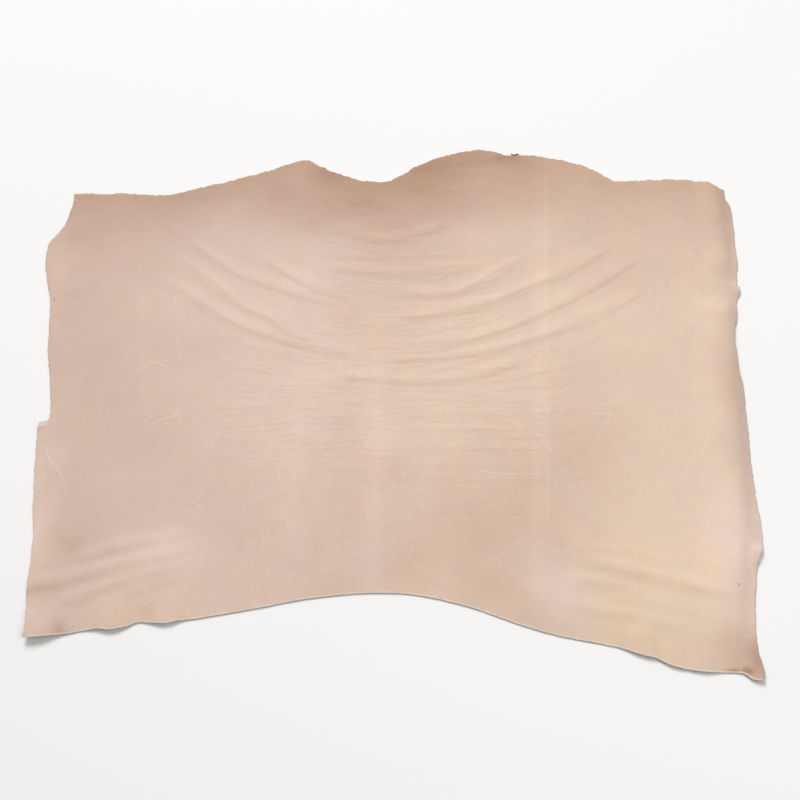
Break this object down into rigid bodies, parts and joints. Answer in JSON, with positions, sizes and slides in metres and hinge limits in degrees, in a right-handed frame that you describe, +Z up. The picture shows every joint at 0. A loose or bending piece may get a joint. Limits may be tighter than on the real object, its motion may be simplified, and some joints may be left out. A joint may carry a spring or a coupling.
{
  "type": "leather shoulder split",
  "caption": "Whole double shoulder of pale undyed leather split to an even thickness, lying grain side up with low folds at its belly edges.",
  "frame": {"origin": "middle of the hide's bounding box, at the height of the ground that the flesh side lies on", "axes": "+X across the shoulders from the left belly edge to the right, +Y towards the neck, +Z up out of the grain side"},
  "size_m": [1.402, 1.1358, 0.0182],
  "materials": {
    "leather": "undyed vegetable-tanned grain, matt, with growth wrinkles and healed scratches; pale fibrous flesh side and cut edge"
  },
  "bodies": {
    "root": {"hide": "leather"}
  },
  "joints": []
}
